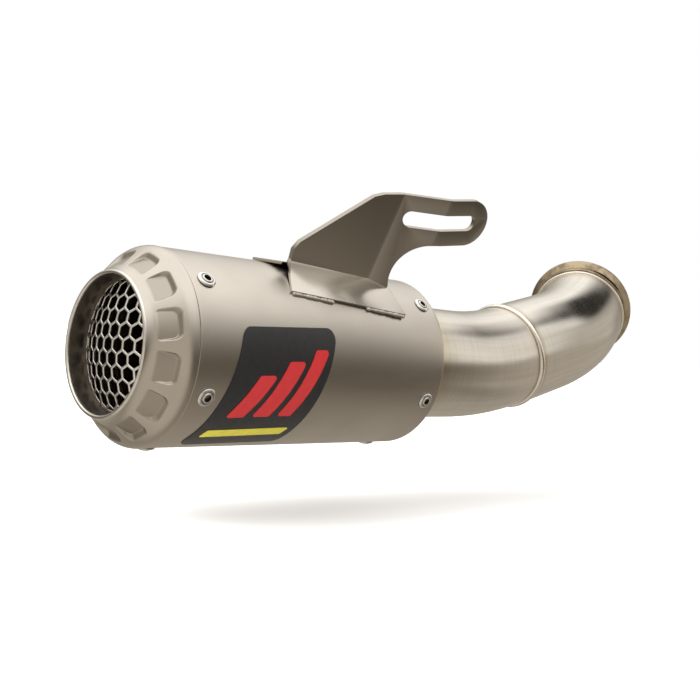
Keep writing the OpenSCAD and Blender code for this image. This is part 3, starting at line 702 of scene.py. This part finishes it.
def makeHoneycomb():
    pitch, bar, t, rim = honeycomb["pitch"], honeycomb["bar"], honeycomb["sheet"], honeycomb["rim"]
    steps = honeycomb["cornerSteps"]
    # (share of the way from the bar's middle to the hole, height) round the bar
    section = np.array([[0.0, 0.5], [0.55, 0.5], [0.86, 0.36], [1.0, 0.08], [1.0, -0.12], [0.86, -0.4],
                        [0.0, -0.5]])
    border = hexRing(pitch / np.sqrt(3), 0.02, steps)
    hole = hexRing((pitch - bar) / np.sqrt(3), 0.75, steps)
    rows = int(np.ceil(rim / (pitch * np.sin(np.radians(60))))) + 1
    cols = int(np.ceil(rim / pitch)) + 1
    i, j = np.meshgrid(np.arange(-rows, rows + 1), np.arange(-cols, cols + 1), indexing="ij")
    cy = (j + np.where(i % 2 == 0, 0, 0.5)) * pitch
    cz = i * pitch * np.sin(np.radians(60))
    keep = np.hypot(cy, cz) < rim + 0.35 * pitch
    centres = np.stack([cy[keep], cz[keep]], 1)
    share = section[:, 0][:, None, None]
    ring = border[None] * (1 - share) + hole[None] * share  # (section, around, 2)
    flat = centres[:, None, None, :] + ring[None]
    limit = (rim - 1.6 * section[:, 0])[None, :, None]
    reach = np.hypot(flat[..., 0], flat[..., 1])
    flat = flat * np.minimum(1, limit / np.maximum(reach, 1e-6))[..., None]
    r2 = (flat ** 2).sum(-1)
    x = domeX(r2) + t / 2 - section[:, 1][None, :, None] * t
    grid = np.stack([x, flat[..., 0], flat[..., 1]], -1)
    count, m, n = grid.shape[:3]
    one = gridFaces(m, n, False, True)
    faces = (one[None] + (np.arange(count) * m * n)[:, None, None]).reshape(-1, 4)
    piece = addMesh("mouthMesh", placed(grid.reshape(-1, 3)), faces)
    work = bmesh.new()
    work.from_mesh(piece.data)
    bmesh.ops.remove_doubles(work, verts=work.verts, dist=0.00002)
    bmesh.ops.dissolve_degenerate(work, edges=work.edges, dist=0.00002)
    bmesh.ops.recalc_face_normals(work, faces=work.faces)
    work.to_mesh(piece.data)
    work.free()
    piece.data.shade_smooth()
    piece.data.set_sharp_from_angle(angle=np.radians(65))
    # the band that holds the mesh in the mouth
    edgeX = domeX(rim ** 2)
    band = roundCorners([[edgeX, rim - 1.2], [edgeX, rim], [edgeX + 4.8, rim], [edgeX + 4.8, rim - 0.8]],
                        [0.3, 0.2, 0.2, 0.2])
    ringPiece = turnedPiece("meshBand", band, 180)
    finish(ringPiece, meshSteel, "mesh_steel")
    return piece


finish(makeHoneycomb(), meshSteel, "mesh_steel", "mesh_dome")
print("outlet made")


# Link pipe, elbow and welds
def radiusOf(nodeName):
    low, high = boxOf(nodeName)
    return (high[1] - low[1]) / mm / 2


pipes = {"link": radiusOf("link_pipe"), "elbow": 35.8, "wall": 1.2, "steps": 192, "rows": 96}
linkStart = unplaced(boxOf("link_pipe")[0])[0]
link = sweptTube("linkPipe", legOne, linkStart, legOneEnd - 0.1, pipes["link"], pipes["link"] - pipes["wall"],
                 pipes["steps"], pipes["rows"])
finish(link, linkMetal, "tube_titanium", "link_pipe")
elbow = sweptTube("elbowPipe", legTwo, 0.1, legTwoEnd, pipes["elbow"], pipes["elbow"] - pipes["wall"],
                  pipes["steps"], pipes["rows"], legOneEnd)
finish(elbow, elbowMetal, "tube_titanium", "elbow")


def weldRing(name, tube, width, height, carry, ripples, depth, seed):
    # half an ellipse round the tube, (w cos a, R + h sin a), with shallow crescent ripples
    a = np.linspace(0, np.pi, 15)
    profile = np.stack([width * np.cos(a), tube - 0.4 + height * np.sin(a)], 1)

    def ripple(x, t):
        lean = t * ripples + 1.1 * (x / width) ** 2 * np.pi
        slow = np.sin(3 * t + seed) * 0.05 + np.sin(7 * t + 2 * seed) * 0.04
        crest = np.sqrt(np.clip(1 - (x / width) ** 2, 0, 1))
        return crest * height * (depth * np.sin(lean) + slow)
    return turnedPiece(name, profile, int(ripples * 6), ripple, carry, 80)


neckBox = [unplaced(p) for p in boxOf("neck_bead")]
neckMiddle = (neckBox[0][0] + neckBox[1][0]) / 2
weldRings = [  # name, node, then tube radius, half width, height, place, ripples, their depth and a seed
    ("neckWeld", "neck_bead", pipes["link"], 2.1, 1.8, lambda p: p + np.array([neckMiddle, 0, 0]),
     150, 0.05, 0.4),
    ("jointWeld", "joint_bead", pipes["elbow"] - 0.2, 2.4, 1.9, carriedBy(legOne, legOneEnd),
     150, 0.025, 1.7),
    ("flangeWeld", "flange_bead", pipes["elbow"], 1.4, 1.4, carriedBy(legTwo, legTwoEnd),
     130, 0.05, 2.9),
]
for name, nodeName, *sizes in weldRings:
    finish(weldRing(name, *sizes), weldMetal, "weld_titanium", nodeName)

flange = {"collar": 37.6, "collarLength": 7.0, "rim": 41.0, "rimThickness": 2.0, "length": 14.0}


def makeFlange():
    bore, end = pipes["elbow"] - pipes["wall"], flange["length"]
    points = [[bore, 0.0], [35.8, 0.0], [35.8, 1.2], [flange["collar"], 2.2],
              [flange["collar"], flange["collarLength"]], [flange["collar"] + 0.8, 8.2],
              [flange["rim"], end - flange["rimThickness"]], [flange["rim"], end], [bore, end]]
    profile = roundCorners([[x, r] for r, x in points], [0.2, 0.1, 0.5, 0.7, 1.0, 2.0, 0.7, 0.7, 0.5], 6)
    return turnedPiece("inletFlange", subdivided(profile, 1.5), 220, None, carriedBy(legTwo, legTwoEnd), 70)


finish(makeFlange(), flangeMetal, "flange_titanium", "inlet_flange")
print("pipes made")


# Hanger
hanger = {"x": 124.0, "angle": np.radians(63), "footTilt": np.radians(20.7), "footTop": 3.4, "footFade": 1.2,
          "edge": 0.00032, "edgeSteps": 3, "weldRadius": 1.2}


def smoothedCopy(nodeName, name):
    # The sheet with its loose triangles joined, its flats cleaned and its edges broken
    piece = bpy.data.objects.new(name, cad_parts[nodeName].data.copy())
    piece.data.materials.clear()
    bpy.context.scene.collection.objects.link(piece)
    work = bmesh.new()
    work.from_mesh(piece.data)
    bmesh.ops.remove_doubles(work, verts=work.verts, dist=0.000004)
    bmesh.ops.dissolve_limit(work, angle_limit=np.radians(0.7), verts=work.verts, edges=work.edges)
    work.to_mesh(piece.data)
    work.free()
    bevel = piece.modifiers.new("edges", "BEVEL")
    bevel.width = hanger["edge"]
    bevel.segments = hanger["edgeSteps"]
    bevel.limit_method = "ANGLE"
    bevel.angle_limit = np.radians(32)
    bevel.use_clamp_overlap = True
    shown = piece.evaluated_get(bpy.context.evaluated_depsgraph_get())
    final = bpy.data.meshes.new_from_object(shown)
    piece.modifiers.clear()
    piece.data = final
    piece.data.shade_smooth()
    piece.data.set_sharp_from_angle(angle=np.radians(28))
    return piece


def tagFoot(piece, angle):
    # 1 on the foot and 0 on the web, by the height over the flat that the foot lies in
    co = np.zeros(len(piece.data.vertices) * 3)
    piece.data.vertices.foreach_get("co", co)
    p = (co.reshape(-1, 3) - mouthPoint) / mm
    out = -p[:, 1] * np.cos(angle) + p[:, 2] * np.sin(angle)
    height = out - silencer["radius"]
    addAttribute(piece, "foot", np.clip((hanger["footTop"] - height) / hanger["footFade"], 0, 1), "FLOAT")


for nodeName, name, sideOf in (("hanger_plate", "hangerPlate", -1), ("hanger_backing", "hangerBacking", 1)):
    sheet = smoothedCopy(nodeName, name)
    tagFoot(sheet, hanger["angle"] + sideOf * hanger["footTilt"])
    finish(sheet, hangerSheet, "hanger_titanium", nodeName)


def footPlace(side, p):
    # A foot's own frame, flat against the sleeve, to the silencer's
    a = hanger["angle"] + side * hanger["footTilt"]
    z = p[:, 2] + silencer["radius"] + 0.02
    y = p[:, 1] * (1 if side < 0 else -1)
    return np.stack([hanger["x"] + p[:, 0], y * np.sin(a) - z * np.cos(a), y * np.cos(a) + z * np.sin(a)], 1)


def weldRun(name, nodeName, side, start, end, seed):
    # A bead along a line: r(s) = R (1 + lumps), closed to a point at both ends
    rng = np.random.default_rng(seed)
    radius = hanger["weldRadius"]
    start, end = np.array([*start, 0.25]), np.array([*end, 0.25])
    length = np.linalg.norm(end - start)
    rows, steps = int(length / 0.35), 20
    s = np.linspace(0, 1, rows)
    lumps = sum(a * np.sin(2 * np.pi * f * s * length / 10 + p) for a, f, p in
                zip((0.10, 0.07, 0.06, 0.04), (0.9, 1.9, 4.3, 7.1), rng.uniform(0, 6.28, 4)))
    ends = np.sqrt(np.clip(np.minimum(s, 1 - s) * length / radius, 0.002, 1))
    r = radius * (1 + lumps) * ends
    t = np.arange(steps) / steps * 2 * np.pi
    ahead = (end - start) / length
    across = np.array([-ahead[1], ahead[0], 0])
    sway = 0.2 * np.sin(2 * np.pi * s * length / 170 + seed) + 0.08 * np.sin(2 * np.pi * s * length / 53)
    centre = start + s[:, None] * (end - start) + sway[:, None] * across
    grid = centre[:, None] + r[:, None, None] * (np.cos(t)[None, :, None] * across * 1.25
                                                 + np.sin(t)[None, :, None] * np.array([0, 0, 0.8]))
    # flat discs close the ends
    points = np.vstack([grid.reshape(-1, 3), centre[:1], centre[-1:]])
    quads = gridFaces(rows, steps, False, True).tolist()
    last = rows * steps
    ring = np.arange(steps)
    caps = np.stack([np.full(steps, last), (ring + 1) % steps, ring], 1).tolist()
    tail = np.stack([np.full(steps, last + 1), ring + last - steps, (ring + 1) % steps + last - steps], 1)
    mesh = bpy.data.meshes.new(name)
    mesh.from_pydata(placed(footPlace(side, points)).tolist(), [], quads + caps + tail.tolist())
    mesh.validate()
    mesh.shade_smooth()
    piece = bpy.data.objects.new(name, mesh)
    bpy.context.scene.collection.objects.link(piece)
    faceOutwards(piece)
    return finish(piece, footWeld, "weld_titanium", nodeName)


footWelds = [  # name, node, side of the web, start and end in the foot's own mm, seed of the lumps
    ("footWeldFront", "foot_weld_front", -1, (-43.5, -2.0), (-15.2, -5.0), 3),
    ("footWeldRear", "foot_weld_rear", -1, (7.0, -7.3), (35.8, -10.5), 8),
    ("backingWeld", "backing_weld", 1, (-40.0, -2.3), (33.8, -4.4), 12),
]
for run in footWelds:
    weldRun(*run)
print("hanger made")

# Rivets
rivet = {"head": 4.9, "shank": 2.4, "depth": 4.0, "steps": 56}


def rivetProfile():
    # (height over the sleeve, radius): flange, shallow groove, raised hub and open middle
    points = [[-rivet["depth"], 0.05], [-rivet["depth"], rivet["shank"]], [0.03, rivet["shank"]],
              [0.03, rivet["head"] - 0.25], [0.45, rivet["head"]], [1.15, rivet["head"] - 0.95],
              [1.2, 3.25], [0.75, 2.95], [1.55, 2.6], [1.7, 2.1], [1.45, 1.75], [-0.6, 1.65], [-0.7, 0.05]]
    return roundCorners(points, [0, 0.2, 0, 0.15, 0.35, 0.5, 0.2, 0.15, 0.25, 0.2, 0.15, 0.1, 0], 4)


def makeRivet(name, nodeName, x, angle):
    out = np.array([0, -np.cos(angle), np.sin(angle)])
    along = np.array([1.0, 0, 0])
    across = np.cross(out, along)
    base = np.array([x, 0, 0]) + out * (silencer["radius"] + 0.02)
    carry = lambda p: base + p[:, :1] * out + p[:, 1:2] * along + p[:, 2:3] * across
    piece = turnedPiece(name, rivetProfile(), rivet["steps"], None, carry, 50)
    finish(piece, rivetSteel, "rivet_steel", nodeName)


for prefix in ("outlet", "inlet"):
    for k, (x, angle) in enumerate(rivets[prefix], 1):
        makeRivet("%sRivet%d" % (prefix, k), "%s_rivet_%d" % (prefix, k), x, angle)


# Packing
packing = {  # piece, node, thickness in mm, material, slot and height of the lumps
    "wool": ("woolWrap", "wool_wrap", 3.1, woolSteel, "steel_wool", 0.12),
    "fibre": ("fibrePacking", "fibre_packing", 12.0, glassFibre, "glass_fibre", 0.3),
}


def makePacking(name, nodeName, thick, material, slotName, lump):
    # a thick tube; its radius grows and shrinks by lump times a product of two waves
    low, high = (unplaced(p) for p in boxOf(nodeName))
    ro = (high[1] - low[1]) / 2
    ri = ro - thick
    profile = subdivided(np.array([[low[0] + 0.6, ri + 0.4], [low[0] + 0.6, ro - 0.8],
                                   [high[0] - 0.6, ro - 0.8], [high[0] - 0.6, ri + 0.4]]), 2.4)

    def lumps(x, t):
        return lump * (np.sin(9 * t + x / 5) * np.sin(x / 3.1 + 2 * t) + 0.6 * np.sin(23 * t - x / 2.3))
    return finish(turnedPiece(name, profile, 160, lumps), material, slotName, nodeName)


for sort in packing.values():
    makePacking(*sort)

# These nodes keep their own meshes
for nodeName, material in (("core_tube", coreSteel), ("inlet_cap", blastedCap), ("badge_plate", badgeBlack),
                           ("badge_mark", badgeRed), ("badge_stripe", badgeYellow)):
    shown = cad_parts[nodeName]
    shown.data.materials.clear()
    shown.data.materials.append(material)
print("small pieces made")

# Camera, floor and light
view = {  # place in mm, directions, then lens and sensor in mm and the lens shift
    "place": (-254.63, -440.82, 8.705), "towards": (0.745638, 0.661348, 0.081503),
    "up": (-0.108659, 0.0, 0.994079), "lens": 51.5623, "sensor": 36.0, "shift": (-0.137571, -0.117143),
}


def makeCamera():
    ahead = Vector(view["towards"]).normalized()
    up = Vector(view["up"]).normalized()
    right = ahead.cross(up).normalized()
    up = right.cross(ahead).normalized()
    data = bpy.data.cameras.new("camera")
    data.sensor_width, data.lens = view["sensor"], view["lens"]
    data.shift_x, data.shift_y = view["shift"]
    data.clip_start, data.clip_end = 0.01, 50.0
    camera = bpy.data.objects.new("camera", data)
    turn = Matrix((right, up, -ahead)).transposed().to_4x4()
    camera.matrix_world = Matrix.Translation(Vector(placed(view["place"]))) @ turn
    bpy.context.scene.collection.objects.link(camera)
    bpy.context.scene.camera = camera


makeCamera()

studio = {
    "floorDrop": 0.034, "floorHalfWidth": 60,
    # each sun: energy, width in degrees, where it comes from, and whether it casts a shadow
    "suns": [(2.5, 34.0, (-0.78, 0.26, 0.56), True), (1.3, 30.0, (-0.35, -0.72, 0.60), False)],
    # each card: azimuth from +x, elevation, radius and softness in degrees, then its colour
    "cards": [
        (-165, -30, 56, 16, (0.66, 0.61, 0.54)),
        (40, -28, 42, 22, (0.46, 0.42, 0.36)),
    ],
    # the sky from straight down (0) through the horizon (0.5) to straight up (1)
    "sky": [(0.0, (0.36, 0.32, 0.27)), (0.18, (0.31, 0.275, 0.23)), (0.30, (0.17, 0.148, 0.12)),
            (0.42, (0.13, 0.112, 0.09)), (0.50, (0.20, 0.18, 0.15)), (0.575, (0.30, 0.28, 0.25)),
            (0.65, (0.46, 0.44, 0.40)), (0.74, (0.84, 0.82, 0.78)), (0.82, (1.24, 1.22, 1.18)),
            (0.92, (1.55, 1.53, 1.5)), (1.0, (1.5, 1.48, 1.46))],
    # each panel stands near the pipes: middle, half width, half height, the way it faces, its colour
    "panels": [
        ((518, -55, 171), 92, 100, (-0.68, 0.10, -0.73), (0.03, 0.026, 0.022)),
        ((442, -190, 89), 76, 105, (-0.77, 0.60, -0.30), (1.05, 1.02, 0.96)),
        ((534, -91, 51), 100, 90, (-0.77, 0.60, -0.30), (0.62, 0.58, 0.52)),
        ((514, -90, -46), 170, 130, (-0.77, 0.56, 0.30), (0.52, 0.475, 0.41)),
    ],
}
floorZ = cadLow[2] - studio["floorDrop"]


def makeFloor():
    mesh = bpy.data.meshes.new("floor")
    wide = studio["floorHalfWidth"]
    corners = [(-wide, -wide, floorZ), (wide, -wide, floorZ), (wide, wide, floorZ), (-wide, wide, floorZ)]
    mesh.from_pydata(corners, [], [(0, 1, 2, 3)])
    floor = bpy.data.objects.new("floor", mesh)
    bpy.context.scene.collection.objects.link(floor)
    material, tree, shader = newMaterial("paleFloor", 0.0, 0.9, (0.93, 0.93, 0.93))
    shader.inputs["Specular IOR Level"].default_value = 0.0
    mesh.materials.append(material)
    floor.visible_glossy = False


makeFloor()


def makeSky():
    world = bpy.data.worlds.new("studio")
    bpy.context.scene.world = world
    world.use_nodes = True
    tree = world.node_tree
    tree.nodes.clear()
    out = tree.nodes.new("ShaderNodeOutputWorld")
    around = tree.nodes.new("ShaderNodeBackground")
    seen = tree.nodes.new("ShaderNodeBackground")
    mix = tree.nodes.new("ShaderNodeMixShader")
    path = tree.nodes.new("ShaderNodeLightPath")
    split = tree.nodes.new("ShaderNodeSeparateXYZ")
    direction = tree.nodes.new("ShaderNodeTexCoord").outputs["Generated"]
    tree.links.new(direction, split.inputs[0])
    ramp = tree.nodes.new("ShaderNodeValToRGB")
    half = maths(tree, "MULTIPLY_ADD", split.outputs[2], 0.5, 0.5)
    tree.links.new(half, ramp.inputs[0])
    stops = studio["sky"]
    while len(ramp.color_ramp.elements) < len(stops):
        ramp.color_ramp.elements.new(0.5)
    for element, (place, colour) in zip(ramp.color_ramp.elements, stops):
        element.position = place
        element.color = (*colour, 1)
    light = ramp.outputs[0]
    for azimuth, elevation, radius, soft, colour in studio["cards"]:
        a, e = np.radians(azimuth), np.radians(elevation)
        dot = node(tree, "ShaderNodeVectorMath", operation="DOT_PRODUCT")
        tree.links.new(direction, dot.inputs[0])
        dot.inputs[1].default_value = (np.cos(e) * np.cos(a), np.cos(e) * np.sin(a), np.sin(e))
        edge = between(tree, dot.outputs["Value"], np.cos(np.radians(radius + soft)),
                       np.cos(np.radians(max(radius - soft, 0))))
        light = mixed(tree, edge, light, colour)
    tree.links.new(light, around.inputs[0])
    seen.inputs[0].default_value = (1, 1, 1, 1)
    tree.links.new(path.outputs["Is Camera Ray"], mix.inputs[0])
    tree.links.new(around.outputs[0], mix.inputs[1])
    tree.links.new(seen.outputs[0], mix.inputs[2])
    tree.links.new(mix.outputs[0], out.inputs[0])


makeSky()


def makeSuns():
    # Wide soft suns light the floor and the badge; the metal mirrors only the sky and the panels
    for number, (energy, width, comesFrom, casts) in enumerate(studio["suns"], 1):
        data = bpy.data.lights.new("softSun%d" % number, "SUN")
        data.energy = energy
        data.angle = np.radians(width)
        data.use_shadow = casts
        lamp = bpy.data.objects.new("softSun%d" % number, data)
        lamp.rotation_euler = Vector(comesFrom).to_track_quat("Z", "Y").to_euler()
        lamp.visible_glossy = False
        bpy.context.scene.collection.objects.link(lamp)


makeSuns()


def makePanel(number, middle, wide, high, facing, colour):
    # A flat card that only reflections see, fading out towards its edges
    ahead = Vector(facing).normalized()
    side = ahead.cross(Vector((0, 0, 1))).normalized()
    up = side.cross(ahead)
    ends = ((-1, -1), (1, -1), (1, 1), (-1, 1))
    corners = [Vector(middle) + side * a * wide + up * b * high for a, b in ends]
    name = "panel%d" % number
    mesh = bpy.data.meshes.new(name)
    mesh.from_pydata(placed([tuple(c) for c in corners]).tolist(), [], [(0, 1, 2, 3)])
    layer = mesh.uv_layers.new(name="UVMap")
    layer.data.foreach_set("uv", [-1, -1, 1, -1, 1, 1, -1, 1])
    panel = bpy.data.objects.new(name, mesh)
    bpy.context.scene.collection.objects.link(panel)
    material, tree, shader = newMaterial(name, 0.0, 1.0, (0, 0, 0))
    shader.inputs["Specular IOR Level"].default_value = 0.0
    shader.inputs["Emission Color"].default_value = (*colour, 1)
    shader.inputs["Emission Strength"].default_value = 1.0
    split = tree.nodes.new("ShaderNodeSeparateXYZ")
    tree.links.new(node(tree, "ShaderNodeUVMap", uv_map="UVMap").outputs[0], split.inputs[0])
    fades = [between(tree, maths(tree, "ABSOLUTE", split.outputs[k]), 0.40, 1.0, 1.0, 0.0) for k in (0, 1)]
    tree.links.new(maths(tree, "MULTIPLY", *fades), shader.inputs["Alpha"])
    mesh.materials.append(material)
    panel.visible_camera = panel.visible_diffuse = panel.visible_shadow = False


for number, panel in enumerate(studio["panels"], 1):
    makePanel(number, *panel)

bpy.context.scene.view_settings.view_transform = "Standard"

print("stage made")
